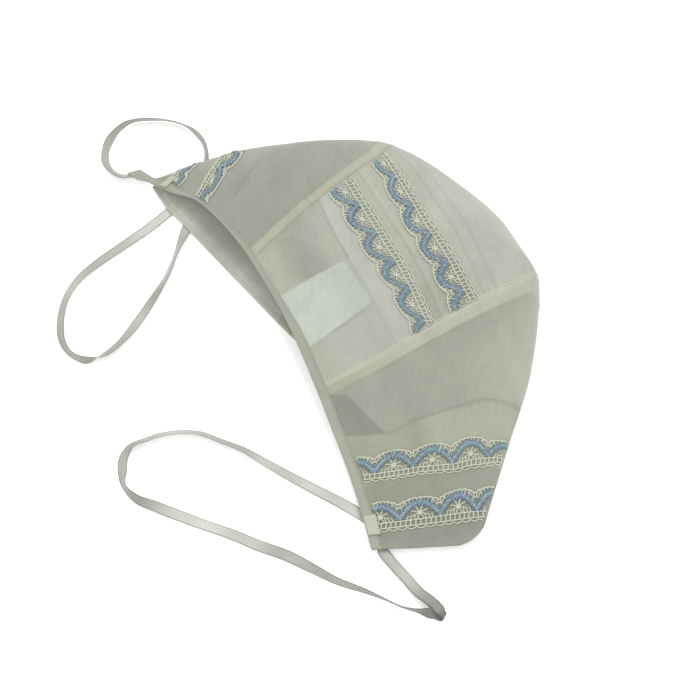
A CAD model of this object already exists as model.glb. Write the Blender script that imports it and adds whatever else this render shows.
import math

import bmesh
import bpy
import numpy as np
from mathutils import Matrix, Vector


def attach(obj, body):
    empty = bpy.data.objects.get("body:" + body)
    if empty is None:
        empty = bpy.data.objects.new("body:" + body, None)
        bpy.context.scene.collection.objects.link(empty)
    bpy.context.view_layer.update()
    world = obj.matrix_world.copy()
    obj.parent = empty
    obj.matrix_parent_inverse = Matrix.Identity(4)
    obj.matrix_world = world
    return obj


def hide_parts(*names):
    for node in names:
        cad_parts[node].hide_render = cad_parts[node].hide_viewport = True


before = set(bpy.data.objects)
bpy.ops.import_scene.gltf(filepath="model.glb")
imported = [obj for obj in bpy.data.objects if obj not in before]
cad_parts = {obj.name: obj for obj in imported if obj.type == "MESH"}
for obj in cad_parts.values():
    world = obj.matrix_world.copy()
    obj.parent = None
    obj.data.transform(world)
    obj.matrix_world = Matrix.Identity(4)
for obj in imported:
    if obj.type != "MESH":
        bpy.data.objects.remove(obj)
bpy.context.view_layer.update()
scene = bpy.context.scene
MM = 0.001

# Sizes in metres. They repeat the solids', but for the thickness of the thin sheets.
HALF_CHORD = 0.140
DEPTH = 0.160
LIP_HEIGHT = 0.016
CROWN_HEIGHT = 0.050
TIE_ROOM = 0.0014
CLOTH_WALL = 0.001
BINDING_WIDTH = 0.006
BINDING_TIP = 0.011
FACE_EDGE = 0.289
LEFT_SEAM, RIGHT_SEAM = 0.342, 0.655
SEAM_WIDTH = 0.0066 / FACE_EDGE
RIBBON_WIDTH = 0.006
SHEET_WALL = 0.00022  # thickness of the cloth and the ribbons
LABEL_MIDDLE, LABEL_WIDTH, LABEL_LENGTH = 0.503, 0.034, 0.0435
CHORD_MIDDLE = np.array([-0.005551, -0.078977, 0.0])  # middle of the mouth's chord in the row frame

# Sections through the bonnet, as shares of the sizes above, and where along them each stretch ends
COLUMNS = "at faceX faceY faceZ crestX crestY crestZ foldX foldY foldZ neckX neckY lift swell".split()
SECTIONS = np.array([
    [0.000, -1.000, -0.013, 0.275, -0.993, 0.023, 0.092, -0.989, 0.040, 0.066, -0.971, 0.003, 1.0, 0.20],
    [0.055, -0.890, 0.031, 0.550, -0.929, 0.119, 0.200, -0.971, 0.181, 0.090, -0.871, 0.006, 1.0, 0.30],
    [0.150, -0.700, 0.103, 0.950, -0.825, 0.275, 0.400, -0.921, 0.369, 0.160, -0.679, 0.041, 0.8, 0.35],
    [0.245, -0.529, 0.134, 0.975, -0.711, 0.523, 0.680, -0.728, 0.637, 0.270, -0.357, 0.100, 0.0, 0.50],
    [0.345, -0.350, 0.150, 0.875, -0.442, 0.734, 0.870, -0.538, 0.861, 0.360, -0.021, 0.163, 0.0, 0.62],
    [0.500, -0.014, 0.150, 0.906, -0.030, 0.827, 1.000, 0.052, 1.026, 0.400, 0.257, 0.225, 0.0, 0.45],
    [0.650, 0.293, 0.125, 0.750, 0.329, 0.974, 0.800, 0.316, 1.006, 0.320, 0.600, 0.269, 0.0, 0.18],
    [0.730, 0.457, 0.106, 0.530, 0.522, 0.705, 0.460, 0.616, 0.832, 0.180, 0.800, 0.288, 0.0, 0.20],
    [0.810, 0.614, 0.088, 0.344, 0.765, 0.557, 0.220, 0.831, 0.641, 0.100, 0.943, 0.306, 0.3, 0.20],
    [0.930, 0.864, 0.044, 0.262, 0.986, 0.375, 0.110, 1.036, 0.456, 0.072, 1.050, 0.331, 0.7, 0.20],
    [1.000, 1.000, 0.013, 0.250, 1.143, 0.281, 0.084, 1.150, 0.356, 0.064, 1.121, 0.344, 0.7, 0.10],
])
RISE_END, CREST_END, TURN_END = 0.46, 0.60, 0.68

# Routes of the ribbon ties in millimetres from the chord's middle: x, y, lift and roll in degrees
LEFT_ROUTE = [
    (-143, 0, 2.3, 10), (-148.4, -6.3, 1.6, 25), (-150.8, -11.8, 0.8, 31), (-157.2, -16.1, 0, 40),
    (-165.9, -17, 0, 42), (-174.1, -13.3, 0, 55), (-180, -8.4, 0, 56), (-184.1, -2.1, 0, 78),
    (-186.7, 4.3, 0, 91), (-187, 11.4, 0, 108), (-183.4, 20.7, 0, 112), (-177.4, 30.1, 0, 116),
    (-169.3, 37.3, 0, 113), (-160.2, 41, 0, 87), (-151, 42.1, 0, 79), (-141.8, 39.5, 0, 64),
    (-133, 34, 0, 30), (-123, 27, 0, 2), (-111, 17, 0, 2), (-99, 6, 0, 2), (-94.8, 2.1, 0, 18),
    (-85.4, -6.6, 0, 52), (-72.4, -19.1, 0, 46), (-61.4, -33.7, 0, 27), (-51.6, -47.8, 0, 15),
    (-43.4, -61.8, 0, 30), (-39.6, -74, 0, 39), (-40.5, -84.5, 0, 102), (-47, -89.8, 0, 100),
    (-55.7, -91.4, 0, 118), (-66.2, -89.3, 0, 138), (-77.2, -83.9, 0, 141), (-87.2, -76.1, 0, 145),
    (-95.6, -64.4, 0, 157), (-100.9, -50.2, 0, 170), (-105.3, -32.9, 0, 178), (-109.3, -15.9, 0, 186),
    (-113.3, -2.9, 0, 186), (-117, 7, 0, 180),
]
RIGHT_ROUTE = [
    (133, 11, 2.1, 0), (138, 10, 2, 0), (142.9, 7.8, 1.7, 0), (150.9, 8.8, 1.4, 0), (161.9, 10.9, 1.6, 0),
    (172.9, 12.9, 2.2, 0), (180.9, 15.9, 2.9, 0), (186.4, 17.2, 3, 0), (189.5, 17.8, 2.8, 0),
    (190.6, 18.4, 1.7, 0), (189.4, 17.4, 0.5, 0), (186.5, 14.6, 0.2, 160), (185.5, 12.2, 0, 132),
    (182.4, 7.7, 0, 91), (176.5, 1.2, 0, 77), (167.4, -5.5, 0, 79), (158.4, -12.5, 0, 93),
    (147.6, -21.9, 0, 107), (133.6, -30.7, 0, 128), (120.1, -39.1, 0, 158), (108.2, -49.2, 0, 168),
    (95.6, -58.6, 0, 178), (83.9, -68.9, 0, 180), (71.6, -79.6, 0, 165), (61.5, -88.5, 0, 140),
    (53.3, -95.4, 0, 120), (44, -98.2, 0, 106), (34.3, -95.3, 0, 147), (26.6, -91.4, 0, 156),
    (21.5, -84.6, 0, 141), (21.8, -76.3, 0, 141), (23, -66.6, 0, 140), (26.9, -55.9, 0, 140),
    (32.5, -47.3, 0, 139), (42.2, -39.3, 0, 139), (52.8, -30.8, 0, 144), (67.3, -22.4, 0, 156),
    (83.5, -12.7, 0, 168), (97, -4, 0, 180), (108.9, 3.1, 0, 188), (118, 8, 0, 180), (124, 11, 0, 180),
]
# The right ribbon folds back between these rows, and turns at this millimetre along it
RIGHT_FOLD = (7, 11, 59)

# Lace bands. Places along a band are shares of the face edge on the crown, and metres from it on the sides.
# Valleys are where the wave comes back to the heading. A heading or scallops row is a place along the band
# and the spot across it. Lean is how far the figures lean over.
LACES = [
    dict(name="centre_front_lace", node="centre_lace_front", crown=True, lean=-1.8,
         valleys=(0.338, 0.400, 0.462, 0.524, 0.578, 0.640, 0.702),
         heading=((0.345, 0.0780), (0.50, 0.0760), (0.65, 0.0755)),
         scallops=((0.345, 0.0620), (0.50, 0.0595), (0.65, 0.0615))),
    dict(name="centre_back_lace", node="centre_lace_back", crown=True, lean=-1.0,
         valleys=(0.330, 0.390, 0.456, 0.516, 0.574, 0.628, 0.688),
         heading=((0.345, 0.1045), (0.50, 0.1010), (0.65, 0.1035)),
         scallops=((0.345, 0.0930), (0.50, 0.0860), (0.65, 0.0865))),
    dict(name="left_lower_lace", node="left_lace_lower", crown=False, lean=0.0,
         valleys=(-0.013, 0.002, 0.0160, 0.0310),
         heading=((0.0015, 0.046), (0.011, 0.036), (0.018, 0.032)),
         scallops=((0.004, 0.072), (0.012, 0.076), (0.020, 0.070))),
    dict(name="left_upper_lace", node="left_lace_upper", crown=False, lean=0.0,
         valleys=(-0.0135, 0.0075, 0.0285, 0.0495),
         heading=((0.004, 0.120), (0.012, 0.120), (0.0215, 0.116), (0.029, 0.116)),
         scallops=((0.005, 0.158), (0.0185, 0.155), (0.027, 0.158), (0.0435, 0.162))),
    dict(name="right_upper_lace", node="right_lace_upper", crown=False, lean=0.30,
         valleys=(-0.0075, 0.0135, 0.0345, 0.0560, 0.0765, 0.0975),
         heading=((0.0065, 0.862), (0.0215, 0.866), (0.0375, 0.868), (0.0565, 0.876), (0.069, 0.872),
                  (0.0815, 0.860)),
         scallops=((0.0065, 0.812), (0.027, 0.814), (0.049, 0.818), (0.070, 0.820), (0.0815, 0.822))),
    dict(name="right_lower_lace", node="right_lace_lower", crown=False, lean=0.20,
         valleys=(-0.0020, 0.0190, 0.0410, 0.0610, 0.0820),
         heading=((0.006, 0.965), (0.080, 0.965)),
         scallops=((0.0125, 0.907), (0.0315, 0.912), (0.052, 0.912), (0.073, 0.904))),
]
REPEAT = 0.0203         # one figure of the lace
SCALLOP_TOP = 0.0154    # heading to the scallops' tops
FOLD_MARGIN = 0.0012    # the side laces end this far before the fold


# Shape of the folded bonnet
def slopes(values):
    """Slopes of one column that keep the curve from swinging past its rows."""
    at = SECTIONS[:, 0]
    step = np.diff(values) / np.diff(at)
    out = np.zeros(len(values))
    out[0], out[-1] = step[0], step[-1]
    for row in range(1, len(values) - 1):
        before, after = step[row - 1], step[row]
        if before * after > 0:
            wide_before, wide_after = at[row] - at[row - 1], at[row + 1] - at[row]
            weight_before = 2 * wide_after + wide_before
            weight_after = wide_after + 2 * wide_before
            out[row] = (weight_before + weight_after) / (weight_before / before + weight_after / after)
    return out


SLOPES = {name: slopes(SECTIONS[:, i]) for i, name in enumerate(COLUMNS)}


def column(name, share):
    """Values of one column between its rows."""
    at = SECTIONS[:, 0]
    values = SECTIONS[:, COLUMNS.index(name)]
    row = np.clip(np.searchsorted(at, share, side="right") - 1, 0, len(at) - 2)
    width = at[row + 1] - at[row]
    t = (share - at[row]) / width
    slope = SLOPES[name]
    return ((2 * t**3 - 3 * t**2 + 1) * values[row] + (t**3 - 2 * t**2 + t) * slope[row] * width
            + (3 * t**2 - 2 * t**3) * values[row + 1] + (t**3 - t**2) * slope[row + 1] * width)


def bezier(a, b, c, d, t):
    t = t[:, None]
    s = 1 - t
    return s**3 * a + 3 * s * s * t * b + 3 * s * t * t * c + t**3 * d


def level(vectors):
    return vectors * np.array([1.0, 1.0, 0.0])


def cloth_point(share, along):
    """Points of the cloth's middle surface, in the row frame."""
    share = np.clip(np.asarray(share, float), 0, 1)
    along = np.clip(np.asarray(along, float), 0, 1)
    get = {name: column(name, share) for name in COLUMNS[1:]}
    floor = CLOTH_WALL / 2 + get["lift"] * TIE_ROOM
    heights = {"face": get["faceZ"] * LIP_HEIGHT, "crest": get["crestZ"] * CROWN_HEIGHT,
               "fold": get["foldZ"] * CROWN_HEIGHT, "neck": floor}
    face, crest, fold, neck = (np.stack([get[place + "X"] * HALF_CHORD, get[place + "Y"] * DEPTH, height], 1)
                               for place, height in heights.items())
    under = level(neck - fold)
    reach = np.minimum((fold[:, 2] - floor) * 1.3, np.linalg.norm(under, axis=1) * 0.9)
    ground = fold + under / np.linalg.norm(under, axis=1)[:, None] * reach[:, None]
    ground[:, 2] = floor
    up = np.array([0.0, 0.0, 1.0])
    ahead, over, back = level(crest - face), level(fold - crest), level(fold - ground)
    rise = bezier(face, face + ahead * 0.34 + up * ((crest - face)[:, 2] * get["swell"])[:, None],
                  crest - ahead * 0.36, crest, np.clip(along / RISE_END, 0, 1))
    top = bezier(crest, crest + over * 0.5, fold + up * ((crest - fold)[:, 2] * 0.5)[:, None], fold,
                 np.clip((along - RISE_END) / (CREST_END - RISE_END), 0, 1))
    turn = bezier(fold, fold + up * ((floor - fold[:, 2]) * 0.55)[:, None], ground + back * 0.45, ground,
                  np.clip((along - CREST_END) / (TURN_END - CREST_END), 0, 1))
    flat = ground + (neck - ground) * np.clip((along - TURN_END) / (1 - TURN_END), 0, 1)[:, None]
    a = along[:, None]
    points = np.where(a <= RISE_END, rise, np.where(a <= CREST_END, top, np.where(a <= TURN_END, turn, flat)))
    return points + CHORD_MIDDLE


def off_cloth(share, along, height=0.0):
    """Points beside the cloth, off its middle surface towards the outside."""
    small = 0.001
    share, along = np.asarray(share, float), np.asarray(along, float)
    right, left = np.minimum(share + small, 1), np.maximum(share - small, 0)
    after, before = np.minimum(along + small, 1), np.maximum(along - small, 0)
    across = cloth_point(right, along) - cloth_point(left, along)
    down = cloth_point(share, after) - cloth_point(share, before)
    normal = np.cross(across, down)
    normal /= np.linalg.norm(normal, axis=1)[:, None]
    return cloth_point(share, along) + normal * np.broadcast_to(height, share.shape)[:, None]


# Lengths along the sections, from the face edge
STEPS_SHARE, STEPS_ALONG = 301, 401
GRID_SHARE, GRID_ALONG = np.linspace(0, 1, STEPS_SHARE), np.linspace(0, 1, STEPS_ALONG)
surface = cloth_point(np.repeat(GRID_SHARE, STEPS_ALONG), np.tile(GRID_ALONG, STEPS_SHARE))
surface = surface.reshape(STEPS_SHARE, STEPS_ALONG, 3)
LENGTHS = np.zeros((STEPS_SHARE, STEPS_ALONG))
LENGTHS[:, 1:] = np.cumsum(np.linalg.norm(np.diff(surface, axis=1), axis=2), axis=1)
GRID_DISTANCE = np.linspace(0, 0.34, 681)
PLACES = np.stack([np.interp(GRID_DISTANCE, LENGTHS[k], GRID_ALONG) for k in range(STEPS_SHARE)])


def look_up(grid, share, other, step):
    """Value of a grid of shares and even steps, between its points."""
    i = np.clip(share * (STEPS_SHARE - 1), 0, STEPS_SHARE - 1.001)
    j = np.clip(other / step, 0, grid.shape[1] - 1.001)
    i0, j0 = i.astype(int), j.astype(int)
    a, b = i - i0, j - j0
    return ((1 - a) * (1 - b) * grid[i0, j0] + a * (1 - b) * grid[i0 + 1, j0]
            + (1 - a) * b * grid[i0, j0 + 1] + a * b * grid[i0 + 1, j0 + 1])


def along_for(share, distance):
    share, distance = np.broadcast_arrays(np.asarray(share, float), np.asarray(distance, float))
    return look_up(PLACES, share, distance, GRID_DISTANCE[1])


def length_at(share, along):
    share, along = np.broadcast_arrays(np.asarray(share, float), np.asarray(along, float))
    return look_up(LENGTHS, share, along, GRID_ALONG[1])


def smooth(value, low, high):
    t = np.clip((value - low) / (high - low), 0, 1)
    return t * t * (3 - 2 * t)


def hump(value, middle, width):
    """A soft bump, 1 at its middle."""
    return np.exp(-((value - middle) / width) ** 2)


def outer_edge(share):
    """Where the binding starts, in metres from the face edge: it sits back along the left."""
    return 0.002 * smooth(share, 0.06, 0.12) * (1 - smooth(share, 0.42, 0.56))


def inner_edge(share):
    return BINDING_WIDTH - 0.0018 * smooth(share, 0.05, 0.09) * (1 - smooth(share, 0.20, 0.30))


def relief(share, distance, along):
    """Slack of light cloth, shallow waves and soft puckers, and its step over the turned seams."""
    x, y = share * FACE_EDGE * 1000, distance * 1000
    slack = 0.25 * np.sin(x / 17 + 0.7 * np.sin(y / 29)) * np.sin(y / 21 + 0.5)
    slack += 0.14 * np.sin(x / 7.3 + y / 11.0 + 1.1 * np.sin(x / 19.0))
    slack *= smooth(distance, 0.006, 0.020) * (1 - smooth(along, 0.56, 0.62))
    left_strip, right_strip = LEFT_SEAM - SEAM_WIDTH, RIGHT_SEAM + SEAM_WIDTH
    turned = smooth(share, left_strip - 0.002, left_strip) * (share <= LEFT_SEAM)
    turned += (1 - smooth(share, right_strip, right_strip + 0.002)) * (share >= RIGHT_SEAM)
    return (slack + 0.4 * turned * smooth(distance, 0.004, 0.008)) * MM


def on_cloth(share, distance, height):
    """Points off the cloth as it lies, slack and all, at a share of the face edge and metres from it."""
    along = along_for(share, distance)
    return off_cloth(share, along, relief(share, distance, along) + height)


# Making pieces
def new_object(name, data):
    thing = bpy.data.objects.new(name, data)
    scene.collection.objects.link(thing)
    return thing


def new_piece(name, mesh, finishes, *nodes):
    """An object of the bonnet with its finishes, which stands for the named solids."""
    piece = new_object(name, mesh)
    for finish in finishes:
        mesh.materials.append(finish)
    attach(piece, "root")
    if nodes:
        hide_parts(*nodes)
    return piece


def thicken(piece, thickness):
    wall = piece.modifiers.new("thickness", "SOLIDIFY")
    wall.thickness, wall.offset = thickness, 0


def placed_grid(wide, rows, place):
    """A sheet of wide by rows faces, whose points go where place puts shares of its width and rows."""
    sheet = bmesh.new()
    layer = sheet.loops.layers.uv.new("cloth")
    bmesh.ops.create_grid(sheet, x_segments=wide, y_segments=rows, size=0.5, calc_uvs=True)
    spots = np.array([v.co[:2] for v in sheet.verts]) + 0.5
    points, measure = place(spots[:, 0], spots[:, 1])
    for vert, point in zip(sheet.verts, points):
        vert.co = point
    sheet.verts.index_update()
    for face in sheet.faces:
        face.smooth = True
        for loop in face.loops:
            loop[layer].uv = measure[loop.vert.index]
    return sheet


def finished_mesh(sheet, name):
    mesh = bpy.data.meshes.new(name)
    sheet.to_mesh(mesh)
    sheet.free()
    return mesh


def paint(mesh, colours):
    """Colours of the cloth's zones, one for each point."""
    layer = mesh.color_attributes.new("tone", "FLOAT_COLOR", "POINT")
    values = np.ones((len(mesh.vertices), 4), np.float32)
    values[:, :3] = colours
    layer.data.foreach_set("color", values.ravel())


STUDIO_LIGHT = 1.21  # light on a flat surface, where 1 shows a white one as white


def linear(*rgb):
    """The colour of a finish that is seen as this one, from 0 to 255, in the studio's bright light."""
    c = np.array(rgb, float) / 255
    return np.where(c <= 0.04045, c / 12.92, ((c + 0.055) / 1.055) ** 2.4) / STUDIO_LIGHT


# Finishes
def connect(tree, socket, value):
    """Puts a value or another node's output on a socket."""
    if isinstance(value, bpy.types.NodeSocket):
        tree.links.new(value, socket)
    else:
        socket.default_value = value


def add(tree, kind, settings=None, **inputs):
    """A shader node with its settings and what is on its sockets."""
    node = tree.nodes.new("ShaderNode" + kind)
    for key, value in (settings or {}).items():
        setattr(node, key, value)
    for key, value in inputs.items():
        connect(tree, node.inputs[key.replace("_", " ")], value)
    return node


def calc(tree, operation, *values):
    node = add(tree, "Math", {"operation": operation})
    for socket, value in zip(node.inputs, values):
        connect(tree, socket, value)
    return node.outputs[0]


def two_tones(tree, value, *stops):
    """A ramp between two colours, each with its position."""
    ramp = add(tree, "ValToRGB", Fac=value)
    for element, (colour, position) in zip(ramp.color_ramp.elements, stops):
        element.color, element.position = (*colour, 1), position
    return ramp.outputs["Color"]


def new_finish(name, roughness, **sockets):
    """A material, its nodes and the sockets of its shader."""
    finish = bpy.data.materials.new(name)
    finish.use_nodes = True
    shader = finish.node_tree.nodes["Principled BSDF"].inputs
    shader["Roughness"].default_value = roughness
    for socket, value in sockets.items():
        shader[socket.replace("_", " ")].default_value = value
    return finish, finish.node_tree, shader


def weave_group():
    """Fine threads both ways with uneven yarn, soft clouds, and faint ripples of two layers together."""
    group = bpy.data.node_groups.new("Sheer weave", "ShaderNodeTree")
    face = group.interface
    for name, start in (("Pitch", 0.0006), ("Slub", 0.10), ("Ripple", 0.05)):
        face.new_socket(name, in_out="INPUT", socket_type="NodeSocketFloat").default_value = start
    face.new_socket("Shade", in_out="OUTPUT", socket_type="NodeSocketFloat")
    face.new_socket("Height", in_out="OUTPUT", socket_type="NodeSocketFloat")
    given = group.nodes.new("NodeGroupInput").outputs
    result = group.nodes.new("NodeGroupOutput").inputs
    cloth = add(group, "UVMap", {"uv_map": "cloth"}).outputs["UV"]
    apart = add(group, "SeparateXYZ", Vector=cloth).outputs
    threads = []
    for axis in ("X", "Y"):
        turns = calc(group, "DIVIDE", apart[axis], given["Pitch"])
        threads.append(calc(group, "SINE", calc(group, "MULTIPLY", turns, 2 * math.pi)))
    connect(group, result["Height"], calc(group, "MULTIPLY", *threads))
    yarns = []
    for stretch in ((60.0, 1400.0, 1.0), (1400.0, 60.0, 1.0)):
        scaled = add(group, "Mapping", Vector=cloth, Scale=stretch).outputs["Vector"]
        noise = add(group, "TexNoise", Vector=scaled, Scale=1.0, Detail=2.0, Roughness=0.6).outputs["Fac"]
        yarns.append(calc(group, "SUBTRACT", noise, 0.5))
    slub = calc(group, "MULTIPLY", calc(group, "ADD", *yarns), given["Slub"])
    bands = add(group, "TexWave", {"wave_type": "BANDS", "bands_direction": "DIAGONAL"}, Vector=cloth,
                Scale=120.0, Distortion=26.0, Detail=2.5, Detail_Scale=0.22).outputs["Fac"]
    ripple = calc(group, "MULTIPLY", calc(group, "SUBTRACT", bands, 0.5), given["Ripple"])
    cloud = add(group, "TexNoise", Vector=cloth, Scale=55.0, Detail=3.0, Roughness=0.55, Distortion=0.8)
    clouded = add(group, "MapRange", Value=cloud.outputs["Fac"], From_Min=0.3, From_Max=0.7,
                  To_Min=-0.05, To_Max=0.05).outputs["Result"]
    total = calc(group, "ADD", calc(group, "ADD", slub, clouded), ripple)
    connect(group, result["Shade"], calc(group, "ADD", total, 1.0))
    return group


WEAVE = weave_group()


def woven_finish(name, colour, alpha, slub, ripple, roughness=0.75, bump=0.25):
    """Woven cloth. A colour of None takes the painted tone."""
    finish, tree, shader = new_finish(
        name, roughness, Alpha=alpha, Specular_IOR_Level=0.25, Sheen_Weight=0.15, Sheen_Roughness=0.5)
    weave = add(tree, "Group", {"node_tree": WEAVE}, Slub=slub, Ripple=ripple).outputs
    if colour is None:
        tone = add(tree, "Attribute", {"attribute_name": "tone"}).outputs["Color"]
    else:
        tone = (*linear(*colour), 1)
    tint = add(tree, "MixRGB", {"blend_type": "MULTIPLY"}, Fac=1.0, Color1=tone, Color2=weave["Shade"])
    relief = add(tree, "Bump", Strength=bump, Distance=0.0001, Height=weave["Height"])
    connect(tree, shader["Base Color"], tint.outputs["Color"])
    connect(tree, shader["Normal"], relief.outputs["Normal"])
    return finish


def thread_finish(name, colour, dark, pitch):
    """Twisted thread: short slanted strokes of two tones."""
    finish, tree, shader = new_finish(name, 0.8, Specular_IOR_Level=0.3, Sheen_Weight=0.2)
    cloth = add(tree, "UVMap", {"uv_map": "cloth"}).outputs["UV"]
    strokes = add(tree, "TexWave", {"wave_type": "BANDS", "bands_direction": "X"}, Vector=cloth,
                  Scale=0.1 / pitch * math.pi, Distortion=2.5, Detail=1.0, Detail_Scale=2.0).outputs["Fac"]
    relief = add(tree, "Bump", Strength=0.5, Distance=0.0002, Height=strokes)
    tones = two_tones(tree, strokes, (linear(*dark), 0.15), (linear(*colour), 0.65))
    connect(tree, shader["Base Color"], tones)
    connect(tree, shader["Normal"], relief.outputs["Normal"])
    return finish


def satin_finish(name, colour):
    """Satin ribbon: painted tone with a grain across it, and darker woven edges."""
    finish, tree, shader = new_finish(
        name, 0.42, Specular_IOR_Level=0.4, Sheen_Weight=0.15, Sheen_Roughness=0.3, Anisotropic=0.4)
    colour = linear(*colour)
    cloth = add(tree, "UVMap", {"uv_map": "cloth"}).outputs["UV"]
    middle = calc(tree, "SUBTRACT", add(tree, "SeparateXYZ", Vector=cloth).outputs["Y"], 0.5)
    selvedge = add(tree, "MapRange", Value=calc(tree, "ABSOLUTE", middle), From_Min=0.37, From_Max=0.47)
    stretched = add(tree, "Mapping", Vector=cloth, Scale=(1500.0, 14.0, 1.0)).outputs["Vector"]
    grain = add(tree, "TexNoise", Vector=stretched, Scale=1.0, Detail=2.0, Roughness=0.55).outputs["Fac"]
    shade = two_tones(tree, grain, (colour * 0.82, 0.3), (colour * 1.10, 0.7))
    edged = add(tree, "MixRGB", {"blend_type": "MIX"}, Fac=selvedge.outputs["Result"], Color1=shade,
                Color2=(*(colour * 0.60), 1))
    tone = add(tree, "Attribute", {"attribute_name": "tone"}).outputs["Color"]
    edged = edged.outputs["Color"]
    toned = add(tree, "MixRGB", {"blend_type": "MULTIPLY"}, Fac=1.0, Color1=edged, Color2=tone)
    bump = add(tree, "Bump", Strength=0.18, Distance=0.0002, Height=grain)
    connect(tree, shader["Base Color"], toned.outputs["Color"])
    connect(tree, shader["Normal"], bump.outputs["Normal"])
    return finish


SHEER = woven_finish("sheer cloth", None, 0.88, 0.13, 0.03)
BOUND = woven_finish("binding cloth", (164, 167, 151), 1.0, 0.14, 0.0, bump=0.4)
TURNED = woven_finish("turned seam cloth", (190, 190, 165), 1.0, 0.16, 0.0)
LABEL = woven_finish("label tape", (206, 214, 202), 1.0, 0.05, 0.0, roughness=0.5, bump=0.15)
TIE_END = woven_finish("folded tie end", (189, 192, 174), 1.0, 0.16, 0.0, roughness=0.6, bump=0.4)
CREAM = thread_finish("cream cotton thread", (232, 234, 215), (208, 210, 191), 0.0009)
BLUE = thread_finish("pale blue cotton thread", (172, 191, 196), (128, 153, 166), 0.0010)
SEWING = thread_finish("sewing thread", (178, 180, 163), (158, 160, 144), 0.0007)
SATIN = satin_finish("pale satin", (206, 209, 197))


# Camera and light
def photo_camera():
    lens = bpy.data.cameras.new("camera")
    lens.lens, lens.sensor_width, lens.clip_start, lens.clip_end = 90, 36, 0.01, 10
    camera = new_object("camera", lens)
    azimuth, elevation, distance = math.radians(62), math.radians(58), 1.0
    target = Vector((0.022, 0.052, 0.0)) + Vector(CHORD_MIDDLE)
    back = Vector((math.sin(azimuth) * math.cos(elevation), -math.cos(azimuth) * math.cos(elevation),
                   math.sin(elevation)))
    camera.location = target + back * distance
    camera.rotation_mode = "QUATERNION"
    camera.rotation_quaternion = (-back).to_track_quat("-Z", "Y")
    scene.camera = camera


def area_light(name, place, size, power):
    lamp = bpy.data.lights.new(name, "AREA")
    lamp.shape, lamp.size, lamp.energy = "DISK", size, power
    light = new_object(name, lamp)
    light.location = place
    light.rotation_mode = "QUATERNION"
    light.rotation_quaternion = (Vector((0, 0, 0.02)) - Vector(place)).to_track_quat("-Z", "Y")


def studio():
    floor = bmesh.new()
    bmesh.ops.create_grid(floor, x_segments=1, y_segments=1, size=3.0)
    bmesh.ops.translate(floor, verts=floor.verts, vec=(0, 0, -0.0002))
    mesh = finished_mesh(floor, "floor")
    ground = new_object("floor", mesh)
    pale = new_finish("pale floor", 0.9, Specular_IOR_Level=0.1, Base_Color=(0.97, 0.97, 0.97, 1),
                      Emission_Color=(1, 1, 1, 1), Emission_Strength=0.25)
    mesh.materials.append(pale[0])
    world = bpy.data.worlds.new("studio")
    world.use_nodes = True
    sky = world.node_tree.nodes["Background"].inputs
    sky["Color"].default_value, sky["Strength"].default_value = (1, 1, 1, 1), 0.95
    scene.world = world
    area_light("soft key", (-0.5, 0.5, 1.3), 0.9, 9.0)
    area_light("soft fill", (0.9, -0.6, 0.9), 1.0, 3.0)
    scene.view_settings.view_transform = "Standard"


photo_camera()


# Ribbon ties
def spline_points(rows, steps):
    """Even steps along a smooth curve through the rows."""
    rows = np.asarray(rows, float)
    gaps = np.linalg.norm(np.diff(rows[:, :2], axis=0), axis=1)
    knots = np.concatenate([[0], np.cumsum(np.sqrt(np.maximum(gaps, 1e-9)))])
    first = rows[0] * 2 - rows[1]
    last = rows[-1] * 2 - rows[-2]
    full = np.vstack([first, rows, last])
    times = np.concatenate([[2 * knots[0] - knots[1]], knots, [2 * knots[-1] - knots[-2]]])
    out = []
    for t in np.linspace(knots[0], knots[-1], steps * 6):
        k = int(np.clip(np.searchsorted(knots, t, side="right") - 1, 0, len(knots) - 2)) + 1
        t0, t1, t2, t3 = times[k - 1:k + 3]
        p0, p1, p2, p3 = full[k - 1:k + 3]
        a1 = (t1 - t) / (t1 - t0) * p0 + (t - t0) / (t1 - t0) * p1
        a2 = (t2 - t) / (t2 - t1) * p1 + (t - t1) / (t2 - t1) * p2
        a3 = (t3 - t) / (t3 - t2) * p2 + (t - t2) / (t3 - t2) * p3
        b1 = (t2 - t) / (t2 - t0) * a1 + (t - t0) / (t2 - t0) * a2
        b2 = (t3 - t) / (t3 - t1) * a2 + (t - t1) / (t3 - t1) * a3
        out.append((t2 - t) / (t2 - t1) * b1 + (t - t1) / (t2 - t1) * b2)
    out = np.array(out)
    run = np.concatenate([[0], np.cumsum(np.linalg.norm(np.diff(out[:, :3], axis=0), axis=1))])
    even = np.linspace(0, run[-1], steps)
    return np.stack([np.interp(even, run, out[:, c]) for c in range(out.shape[1])], 1), run[-1]


def softened(values, reach):
    """Values evened out over so many steps to each side."""
    window = np.hanning(2 * reach + 1)
    return np.convolve(np.pad(values, reach, mode="edge"), window / window.sum(), mode="valid")


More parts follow.
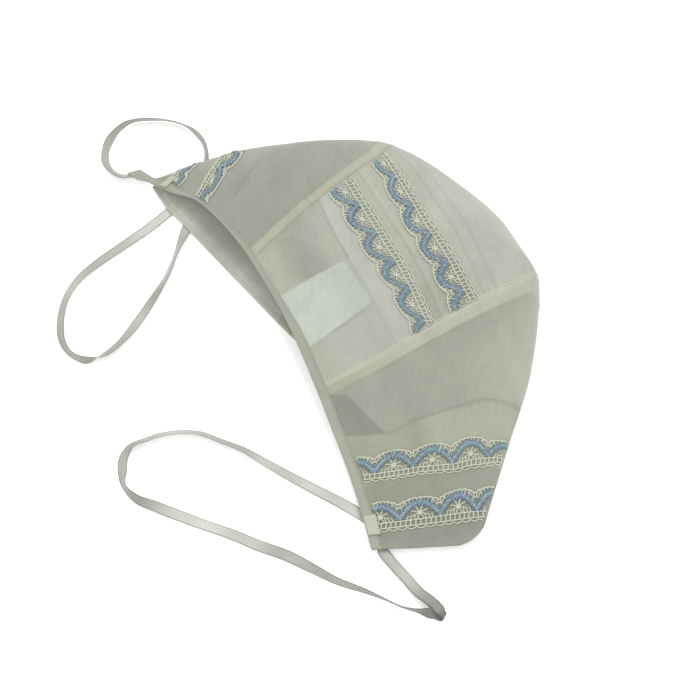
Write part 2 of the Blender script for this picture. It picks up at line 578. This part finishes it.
def ribbon(name, route, node, shaded, folded=None):
    """A flat satin ribbon along its route, which rolls onto its edge and back. Shaded places are millimetres
    along it, their reach and the share of light they lose. Where it folds, it lies square to the fold and not
    to its own way, and its corners turn in."""
    route = np.asarray(route, float)
    heading = np.gradient(route[:, :2], axis=0)
    heading /= np.linalg.norm(heading, axis=1)[:, None]
    roll = np.radians(route[:, 3])
    side = np.stack([-heading[:, 1] * np.cos(roll), heading[:, 0] * np.cos(roll), np.sin(roll)], 1)
    if folded:
        start, end, turn_mm = folded
        for row in range(start + 1, end):
            side[row] = side[start] + (side[end] - side[start]) * (row - start) / (end - start)
    half = RIBBON_WIDTH / 2
    height = route[:, 2] * MM + np.abs(np.sin(roll)) * half + 0.0004
    centre = np.column_stack([route[:, :2] * MM + CHORD_MIDDLE[:2], height])
    steps = 840
    line, length = spline_points(np.hstack([centre, side]), steps)
    middle, sides = line[:, :3], line[:, 3:]
    sides = np.stack([softened(c, 4) for c in sides.T], 1)
    tangent = np.gradient(middle, axis=0)
    tangent /= np.linalg.norm(tangent, axis=1)[:, None]
    run = np.linspace(0, length, steps)
    square = np.ones(steps)
    wide = np.full(steps, RIBBON_WIDTH)
    if folded:
        square -= hump(run * 1000, turn_mm, 3.5)
        wide *= 1 - 0.42 * hump(run * 1000, turn_mm, 2.2)
    sides -= tangent * (square * np.sum(sides * tangent, axis=1))[:, None]
    sides /= np.linalg.norm(sides, axis=1)[:, None]
    bend = softened(np.linalg.norm(np.gradient(tangent, axis=0), axis=1) / (length / steps), 12)
    shade = 1 - 0.42 * np.abs(sides[:, 2]) ** 1.3 - 0.22 * smooth(bend, 60, 300)
    shade *= 1 + 0.07 * np.sin(run / 0.011 + 1.3 * np.sin(run / 0.027)) + 0.04 * np.sin(run / 0.0043)
    for place_mm, reach_mm, share in shaded:
        shade *= 1 - share * hump(run * 1000, place_mm, reach_mm)
    kept = {}

    def place(x, y):
        k = np.rint(x * (steps - 1)).astype(int)
        face = np.cross(tangent[k], sides[k])
        crown = (1 - (2 * y - 1) ** 2) * 0.00012
        points = middle[k] + sides[k] * ((y - 0.5) * wide[k])[:, None] + face * crown[:, None]
        kept["tone"] = np.repeat(shade[k][:, None], 3, axis=1)
        return points, np.stack([x * length, y], 1)

    mesh = finished_mesh(placed_grid(steps - 1, 6, place), name)
    paint(mesh, kept["tone"])
    piece = new_piece(name, mesh, [SATIN], node)
    thicken(piece, SHEET_WALL)


ribbon("left_ribbon", LEFT_ROUTE, "ribbon_left", (
    (0, 18, 0.20), (19, 10, 0.20), (43, 9, -0.10), (76, 10, 0.08), (113, 10, -0.12), (195, 12, 0.13),
    (237, 14, 0.25), (281, 14, 0.22), (318, 18, 0.10), (386, 30, 0.21)))
ribbon("right_ribbon", RIGHT_ROUTE, "ribbon_right", (
    (4, 16, 0.38), (20, 6, 0.10), (58, 24, 0.60), (90, 14, 0.25), (129, 10, -0.10), (159, 11, 0.24),
    (241, 7, 0.10), (278, 8, 0.26), (336, 14, 0.15), (404, 14, 0.06)), RIGHT_FOLD)


# Tones of the sheer cloth, as seen: one layer, two layers, the sewn places and what shows through
def blend(base, tone, mask):
    return base * (1 - mask[:, None]) + linear(*tone) * mask[:, None]


def line(value, *rows):
    """A line on the cloth through rows of a place and its spot."""
    rows = np.array(rows)
    return np.interp(value, rows[:, 0], rows[:, 1])


def painted(ground, *layers):
    """Tones laid one over another on a ground: each is a colour and how far it covers, from 0 to 1."""
    base = linear(*ground)
    for tone, mask in layers:
        base = blend(base, tone, mask)
    return base


CREASE, PALE_SEAM = (146, 148, 134), (203, 204, 186)
UNDER, UNDER_DEEP = (222, 224, 209), (255, 255, 246)


def under_layer(base, along):
    """The layer below, seen in the mouth: paler further in, where the light through the cloth reaches it."""
    deep = smooth(along, TURN_END - 0.01, TURN_END + 0.03) * (1 - smooth(along, 0.74, 0.92))
    return blend(blend(base, UNDER, smooth(along, TURN_END - 0.02, TURN_END + 0.03)), UNDER_DEEP, deep)


def lace_shade(share, distance, crown):
    """Where the cloth lies in the shade of a lace band, from 0 to 1."""
    shade = np.zeros_like(share)
    for band in LACES:
        if band["crown"] != crown:
            continue
        place, across = (share, distance) if crown else (distance, share)
        heading, scallops = line(place, *band["heading"]), line(place, *band["scallops"])
        spot = (across - heading) / (scallops - heading) * SCALLOP_TOP
        shade = np.maximum(shade, smooth(spot, 0.0, 0.0010) * (1 - smooth(spot, 0.0110, 0.0140)))
    return shade


def centre_tone(share, distance, along):
    """The crown: doubled cloth behind the tuck, the label with its top, bottom and far end, and folds."""
    s = distance * 1000
    tuck = line(share, (0.342, 54.5), (0.378, 53), (0.416, 51.5), (0.462, 50.5), (0.58, 50.5), (0.655, 51.5))
    doubled = smooth(s - tuck, -0.3, 0.5)
    top = line(s, (8, 0.446), (50, 0.470))
    bottom = line(s, (7, 0.568), (47.5, 0.562))
    far = line(share, (0.46, 48.5), (0.565, 50.0))
    inside = smooth(share - top, -0.0015, 0.0015) * (1 - smooth(share - bottom, -0.0015, 0.0015))
    inside *= smooth(s, 5.6, 6.2) * (1 - smooth(s - far, -0.4, 0.4))
    behind, back = smooth(s, 72, 78), smooth(s, 100, 106)
    tucked = 0.55 * hump(s, tuck, 0.55) * (share < 0.47) + 0.10 * hump(s, tuck, 0.8) * (share > 0.57)
    return under_layer(painted(
        (183, 186, 170),
        ((168, 170, 156), smooth(s, 12, 26)),
        ((180, 182, 168), smooth(s, 30, 50)),
        ((191, 194, 180), doubled),
        ((183, 185, 171), behind * doubled),
        ((172, 174, 160), behind * smooth(share, 0.56, 0.60)),
        ((187, 189, 176), back),
        ((182, 184, 170), back * (1 - smooth(share, 0.38, 0.48))),
        (CREASE, 0.35 * hump(s, line(share, (0.345, 83.0), (0.65, 80.5)), 0.6)),
        ((192, 194, 180), 0.5 * hump(s, line(share, (0.345, 85.0), (0.65, 82.5)), 1.2)),
        ((184, 187, 174), smooth(share - bottom, 0.0, 0.01) * (1 - doubled) * smooth(s, 10, 20)),
        ((200, 208, 195), inside * (1 - 0.3 * smooth(s, 24, 46))),
        (CREASE, tucked),
        ((166, 169, 156), 0.5 * inside * hump(s, far - 0.8, 0.6)),
        (CREASE, 0.25 * hump(s, line(share, (0.342, 112.5), (0.655, 107.5)), 0.8)),
        (CREASE, 0.25 * hump(s, line(share, (0.342, 119.5), (0.655, 115.0)), 0.8)),
        (PALE_SEAM, hump(share, RIGHT_SEAM - 0.0015, 0.0026)),
    ), along)


def left_tone(share, distance, along):
    """The left side panel: a crease across it and the strip beside its seam."""
    s = distance * 1000
    crease = line(s, (19, 0.202), (31.5, 0.198), (42, 0.200))
    strip = line(s, (8, 0.3195), (60, 0.3275))
    base = under_layer(painted(
        (163, 165, 151),
        ((170, 172, 159), smooth(along, 0.30, 0.55)),
        ((172, 174, 160), 0.1 * (1 - smooth(share, 0.17, 0.20))),
        (CREASE, 0.5 * hump(share, crease, 0.0032) * smooth(s, 12, 20) * (1 - smooth(s, 42, 50))),
        ((184, 186, 165), smooth(share, strip - 0.0012, strip)),
        (CREASE, 0.45 * hump(share, LEFT_SEAM - 0.0012, 0.0016)),
    ), along)
    return blend(base, (190, 193, 179), 0.9 * hump(share, 0.185, 0.045) * smooth(along, 0.86, 0.97))


def right_tone(share, distance, along):
    """The right side panel: single cloth before the slant, doubled cloth beyond the tuck, and the strip."""
    s = distance * 1000
    tuck = line(s, (6.5, 0.764), (15.5, 0.774), (27, 0.782), (35.5, 0.780), (44, 0.776))
    slant = line(share, (0.678, 6.5), (0.690, 14.5), (0.718, 18), (0.752, 22.5), (0.780, 26.5))
    beyond, lower = smooth(share - tuck, -0.0006, 0.0012), smooth(share, 0.864, 0.872)
    strip = 1 - smooth(share, RIGHT_SEAM + SEAM_WIDTH - 0.0012, RIGHT_SEAM + SEAM_WIDTH)
    return under_layer(painted(
        (167, 169, 155),
        ((182, 184, 169), smooth(along, 0.34, 0.56)),
        ((148, 150, 137), (1 - smooth(s - slant, -1.6, 1.6)) * (share < tuck + 0.001)),
        ((166, 169, 150), beyond),
        ((177, 180, 161), beyond * smooth(s, 42, 54)),
        ((154, 157, 141), lower),
        ((160, 163, 148), lower * smooth(s, 40, 60)),
        ((151, 153, 140), smooth(share, 0.957, 0.966)),
        ((175, 177, 155), strip),
        ((189, 191, 171), strip * smooth(s, 14, 50)),
        (CREASE, 0.5 * hump(share, tuck, 0.0020)),
        (PALE_SEAM, hump(share, RIGHT_SEAM + 0.0010, 0.0026)),
        ((158, 160, 146), 0.5 * smooth(share, 0.985, 0.988)),
    ), along)


def hem_mask(share, distance):
    """Narrow turned hem along the neck edge."""
    left = length_at(share, np.ones_like(share)) - distance
    return 1 - smooth(left, 0.0034, 0.0040)


def right_end(along):
    """Last share of the right panel: its corner at the chin is rounded."""
    return 1 - 0.022 * hump(np.minimum(along, 0.60), 0.60, 0.055)


def cloth_panel(name, node, start, end, wide, rows, tone, crown=False):
    """A panel of sheer cloth from the binding over the fold to the neck edge."""
    turn_rows, floor_rows = 26, 36
    upper_rows = rows - turn_rows - floor_rows
    kept = {}

    def along_rows(share, row):
        from_edge = inner_edge(share) - 0.0012
        last = length_at(share, np.full_like(share, CREST_END))
        distance = from_edge + (last - from_edge) * np.clip(row / upper_rows, 0, 1)
        turn = CREST_END + (TURN_END - CREST_END) * (row - upper_rows) / turn_rows
        flat = TURN_END + (1 - TURN_END) * (row - upper_rows - turn_rows) / floor_rows
        along = np.where(row <= upper_rows, along_for(share, distance),
                         np.where(row <= upper_rows + turn_rows, turn, flat))
        return np.maximum(along, along_for(share, from_edge))

    def place(x, y):
        row = y * rows
        share = start + (end - start) * x
        if end == 1:
            share = start + (right_end(along_rows(share, row)) - start) * x
        along = along_rows(share, row)
        distance = length_at(share, along)
        hem = hem_mask(share, distance)
        shaded = lace_shade(share, distance, crown) * (1 - smooth(along, 0.54, 0.60))
        colours = blend(tone(share, distance, along), (190, 192, 175), 0.5 * hem)
        kept["colours"] = colours * (1 - 0.14 * shaded[:, None])
        height = relief(share, distance, along) + 0.0003 * hem
        return off_cloth(share, along, height), np.stack([share * FACE_EDGE, distance], 1)

    mesh = finished_mesh(placed_grid(wide, rows, place), name)
    paint(mesh, kept["colours"])
    piece = new_piece(name, mesh, [SHEER], node)
    thicken(piece, SHEET_WALL)
    return piece


left_panel = cloth_panel("left_side_panel", "side_panel_left", 0, LEFT_SEAM, 120, 240, left_tone)
centre_panel = cloth_panel("crown_panel", "centre_panel", LEFT_SEAM, RIGHT_SEAM, 120, 260, centre_tone, True)
right_panel = cloth_panel("right_side_panel", "side_panel_right", RIGHT_SEAM, 1, 120, 240, right_tone)


# Binding of the face edge, folded round it, with a flat tip past the left corner
def face_binding():
    wide, rows = 300, 16
    tip_steps, tip_flare = 14, 0.0028
    corner = cloth_point([0.0, 0.02], [0.0, 0.0])
    tip_way = corner[0] - corner[1]
    tip_way[2] = 0
    tip_way /= np.linalg.norm(tip_way)
    edges = cloth_point([0.0, 0.0], [0.0, 0.3])
    tip_spread = level(edges[0] - edges[1])
    tip_spread /= np.linalg.norm(tip_spread)

    def place(x, y):
        column_at = x * wide
        share = np.maximum(column_at - tip_steps, 0) / (wide - tip_steps)
        past = np.maximum(tip_steps - column_at, 0) / tip_steps
        angle = (y * 2 - 1) * math.pi
        run = 0.5 - 0.5 * np.sign(np.cos(angle)) * np.abs(np.cos(angle)) ** 0.6
        rise = 0.00055 * np.sign(np.sin(angle)) * np.abs(np.sin(angle)) ** 0.45
        edge = outer_edge(share)
        distance = edge + (inner_edge(share) - 0.0002 - edge) * run
        along = along_for(share, distance)
        points = off_cloth(share, along, rise)
        zero = np.zeros_like(share)
        level_z = off_cloth(zero, along_for(zero, zero))[:, 2]
        points += tip_way * (past * BINDING_TIP)[:, None]
        points += tip_spread * ((1 - run) * np.minimum(past * 3, 1) * tip_flare)[:, None]
        points[:, 2] += past * (level_z - cloth_point(share, along)[:, 2])
        return points, np.stack([share * FACE_EDGE, distance], 1)

    sheet = placed_grid(wide, rows, place)
    bmesh.ops.remove_doubles(sheet, verts=sheet.verts, dist=0.00002)
    bmesh.ops.holes_fill(sheet, edges=[e for e in sheet.edges if e.is_boundary], sides=0)
    bmesh.ops.recalc_face_normals(sheet, faces=sheet.faces)
    piece = new_piece("face_binding", finished_mesh(sheet, "face_binding"), [BOUND], "front_binding")
    return piece


binding = face_binding()


# Sewn strips, label and ribbon ends
def sewn_piece(name, node, finish, sheet, thickness):
    piece = new_piece(name, finished_mesh(sheet, name), [finish], node)
    thicken(piece, thickness)
    return piece


def small_sheet(name, node, finish, shares, distances, height, wide, rows, thickness):
    """A small sheet between two shares of the face edge and two distances from it, off the cloth."""
    def place(x, y):
        share = shares[0] + (shares[1] - shares[0]) * x
        distance = distances[0] + (distances[1] - distances[0]) * y
        points = off_cloth(share, along_for(share, distance), height)
        return points, np.stack([share * FACE_EDGE, distance], 1)

    return sewn_piece(name, node, finish, placed_grid(wide, rows, place), thickness)


def seam_strip(name, node, low, high):
    """The seam's turned cloth, inside the bonnet from the binding to the neck edge."""
    def place(x, y):
        share = low + (high - low) * x
        along = along_for(share, np.full_like(share, BINDING_WIDTH))
        along = along + (1 - along) * y
        return off_cloth(share, along, -0.0007), np.stack([share * FACE_EDGE, length_at(share, along)], 1)

    return sewn_piece(name, node, TURNED, placed_grid(4, 160, place), 0.0004)


SEAM_HOLD = 0.004  # share of the face edge by which a strip reaches under the crown
strip_left = seam_strip("left_seam_turning", "seam_strip_left", LEFT_SEAM - SEAM_WIDTH, LEFT_SEAM + SEAM_HOLD)
strip_right = seam_strip("right_seam_turning", "seam_strip_right", RIGHT_SEAM - SEAM_HOLD,
                         RIGHT_SEAM + SEAM_WIDTH)
half_label = LABEL_WIDTH / 2 / FACE_EDGE
label = small_sheet("bare_label", "care_label", LABEL,
                    (LABEL_MIDDLE - half_label, LABEL_MIDDLE + half_label),
                    (BINDING_WIDTH - 0.001, BINDING_WIDTH + LABEL_LENGTH), -0.0010, 24, 34, 0.00025)
tab_left = small_sheet("left_tie_end", "tie_tab_left", TIE_END,
                       (0.036, 0.052), (0.0010, 0.0105), 0.0010, 6, 12, 0.0005)
tab_right = small_sheet("right_tie_end", "tie_tab_right", TIE_END,
                        (0.929, 0.971), (0.0002, 0.0070), 0.0010, 12, 6, 0.0005)


# Lace
LADDER = (0.0013, 0.0041)     # the two rows of the heading's ladder, in metres from the heading
EYE, STAR = 0.0089, 0.0074    # middles of the ring in a valley and of the star between two valleys
EDGE_THREAD, ROW_THREAD, NET_THREAD, FINE_THREAD = 0.0011, 0.0009, 0.0008, 0.0007


class Threads:
    """Threads that lie on the cloth, kept as curves of their own thickness."""

    def __init__(self, name, spot=None):
        self.curve = bpy.data.curves.new(name, "CURVE")
        self.curve.dimensions = "3D"
        self.curve.bevel_depth = MM
        self.curve.bevel_resolution = 0
        self.curve.use_fill_caps = True
        self.spot = spot

    def lay(self, places, thickness, closed=False):
        spline = self.curve.splines.new("POLY")
        spline.points.add(len(places) - 1)
        for point, co in zip(spline.points, places):
            point.co = (*co, 1)
            point.radius = thickness / 2 / MM
        spline.use_cyclic_u = closed

    def run(self, points, thickness, height=0.00045, closed=False):
        """A thread through points, in repeats along the band and metres across, cut off at the seams."""
        points = np.asarray(points, float)
        if closed:
            points = points[:-1]
        places, inside = self.spot(points[:, 0], points[:, 1], height)
        if closed:
            if inside.all():
                self.lay(places, thickness, True)
            return
        cuts = np.flatnonzero(np.diff(inside.astype(int))) + 1
        for part, kept in zip(np.split(places, cuts), np.split(inside, cuts)):
            if kept[0] and len(part) > 1:
                self.lay(part, thickness)

    def as_mesh(self):
        carrier = new_object("carrier", self.curve)
        bpy.context.view_layer.update()
        mesh = bpy.data.meshes.new_from_object(carrier.evaluated_get(bpy.context.evaluated_depsgraph_get()))
        bpy.data.objects.remove(carrier)
        return mesh


def between(start, end, step=0.0016):
    """Points of a straight thread, close enough to follow the cloth."""
    start, end = np.array(start, float), np.array(end, float)
    size = math.hypot((end[0] - start[0]) * REPEAT, end[1] - start[1])
    return start + (end - start) * np.linspace(0, 1, max(int(size / step), 1) + 1)[:, None]


def wave_at(x):
    """Middle of the blue wave, in metres from the heading: round tops and pointed valleys."""
    return 0.0050 + 0.0078 * np.abs(np.sin(np.pi * x)) ** 0.85


def scallop_at(x):
    return 0.0120 + 0.0030 * np.abs(np.sin(np.pi * x)) ** 0.7


def lace_spot(band):
    """Gives a spot's place on the cloth, and whether it is between the seams, the binding and the fold."""
    order = np.arange(len(band["valleys"]))
    heading, scallops = np.array(band["heading"]), np.array(band["scallops"])

    def spot(x, y, height):
        x, y = np.broadcast_arrays(np.asarray(x, float), np.asarray(y, float))
        place = np.interp(x, order, band["valleys"]) + band["lean"] * (y - 0.005)
        start = np.interp(place, heading[:, 0], heading[:, 1])
        top = np.interp(place, scallops[:, 0], scallops[:, 1])
        across = start + (top - start) * y / SCALLOP_TOP
        share, distance = (place, across) if band["crown"] else (across, place)
        end = length_at(share, np.full_like(share, CREST_END)) - FOLD_MARGIN
        inside = (distance > inner_edge(share) + 0.0003) & (distance < end)
        if band["crown"]:
            inside &= (share > LEFT_SEAM + 0.003) & (share < RIGHT_SEAM - 0.003)
        return on_cloth(share, distance, height), inside

    return spot


def lace(band):
    """One band: cream threads, short blue strokes across the wave, and a narrow blue strip below them."""
    spot = lace_spot(band)
    last = len(band["valleys"]) - 1
    threads = Threads(band["name"], spot)
    x = np.arange(0, last + 0.001, 1 / 30)
    for row in LADDER:
        threads.run(np.stack([x, np.full_like(x, row)], 1), ROW_THREAD)
    threads.run(np.stack([x, 0.0007 - 0.0011 * np.abs(np.sin(np.pi * x * 4.3))], 1), NET_THREAD)
    edge = scallop_at(x) + 0.0005 * np.abs(np.sin(np.pi * x * 7.5))
    threads.run(np.stack([x, edge], 1), EDGE_THREAD, 0.0006)
    for rung in np.arange(0, last, 1 / 8):
        threads.run(between((rung, LADDER[0]), (rung + 0.02, LADDER[1])), NET_THREAD)
    ring = np.linspace(0, 2 * math.pi, 13)
    for valley in range(last + 1):
        eye = np.stack([valley + 0.0019 / REPEAT * np.cos(ring), EYE + 0.0019 * np.sin(ring)], 1)
        threads.run(eye, NET_THREAD, closed=True)
        for side in (-1, 1):
            for near, low, far, high, thickness in ((0.06, 0.0104, 0.15, 0.0133, NET_THREAD),
                                                    (0.03, 0.0072, 0.01, 0.0056, FINE_THREAD),
                                                    (0.02, 0.0108, 0.05, 0.0128, FINE_THREAD)):
                threads.run(between((valley + side * near, low), (valley + side * far, high)), thickness)
        middle = valley + 0.5
        for tooth in np.arange(-0.31, 0.32, 0.0886):
            at = middle + tooth
            threads.run(between((at, wave_at(at) + 0.0009), (at + tooth * 0.1, scallop_at(at))), NET_THREAD)
        for turn in np.arange(0, 360, 45):
            way = math.radians(turn + 20)
            end_x = middle + math.sin(way) * 0.0046 / REPEAT
            end_y = min(STAR + math.cos(way) * 0.0040, float(wave_at(end_x)) - 0.0009)
            threads.run(between((middle, STAR), (end_x, max(end_y, 0.0044))), NET_THREAD)
        knot = np.stack([middle + 0.0010 / REPEAT * np.cos(ring), STAR + 0.0010 * np.sin(ring)], 1)
        threads.run(knot, NET_THREAD, 0.0006, closed=True)
        for bar in (-0.33, -0.24, -0.14, 0.14, 0.24, 0.33):
            threads.run(between((middle + bar, LADDER[1]), (middle + bar * 0.86, 0.0064)), FINE_THREAD)
    cream = threads.as_mesh()
    strokes = Threads(band["name"] + "_wave", spot)
    random = np.random.default_rng(len(band["name"]))
    for at in np.arange(0.01, last, 1 / 42):
        slope = (wave_at(at + 0.01) - wave_at(at - 0.01)) / 0.02
        length = math.hypot(REPEAT, slope)
        slant, reach = random.uniform(-0.8, 0.8), random.uniform(0.0014, 0.0021)
        across = np.array([(-slope / REPEAT + slant) / length, (REPEAT + slant * slope) / length])
        middle = np.array([at, wave_at(at) + random.uniform(-0.0002, 0.0002)])
        ends = middle - across * reach * 0.92, middle + across * reach
        strokes.run(np.array([ends[0], middle, ends[1]]), 0.00058, random.uniform(0.0007, 0.0010))
    blue = strokes.as_mesh()
    wide = int(last * 56)
    kept = {}

    def place(x, y):
        t = last * x
        slope = (wave_at(t + 0.01) - wave_at(t - 0.01)) / 0.02
        length = np.sqrt(REPEAT**2 + slope**2)
        thread = np.rint(x * wide).astype(int)
        frayed = 0.00022 * np.where(thread % 2 == 0, 1, -1) + 0.00016 * np.sin(thread * 2.3)
        out = (y - 0.5) * (0.0018 + frayed)
        points, inside = spot(t - slope / length * out / REPEAT * 0.9, wave_at(t) + out * REPEAT / length,
                              0.0006 + 0.0004 * np.sin(np.pi * y))
        kept["inside"] = inside
        return points, np.stack([t * REPEAT, y * 0.003], 1)

    sheet = placed_grid(wide, 5, place)
    inside = kept["inside"]
    outside = [f for f in sheet.faces if not all(inside[v.index] for v in f.verts)]
    bmesh.ops.delete(sheet, geom=outside, context="FACES")
    sheet.from_mesh(blue)
    for face in sheet.faces:
        face.material_index = 1
    sheet.from_mesh(cream)
    piece = new_piece(band["name"], finished_mesh(sheet, band["name"]), [CREAM, BLUE], band["node"])
    return piece


laces = {band["name"]: lace(band) for band in LACES}


# Sewing stitches along the binding
def stitches():
    threads = Threads("binding_stitches")
    for share in np.arange(0.012, 0.99, 0.0078):
        spots = np.array([share, share + 0.0028, share + 0.0056])
        heights = np.array([0.0004, 0.00072, 0.0004])
        threads.lay(off_cloth(spots, along_for(spots, inner_edge(spots) - 0.0009), heights), 0.00036)
    piece = new_piece("binding_stitches", threads.as_mesh(), [SEWING])
    return piece


stitching = stitches()

studio()
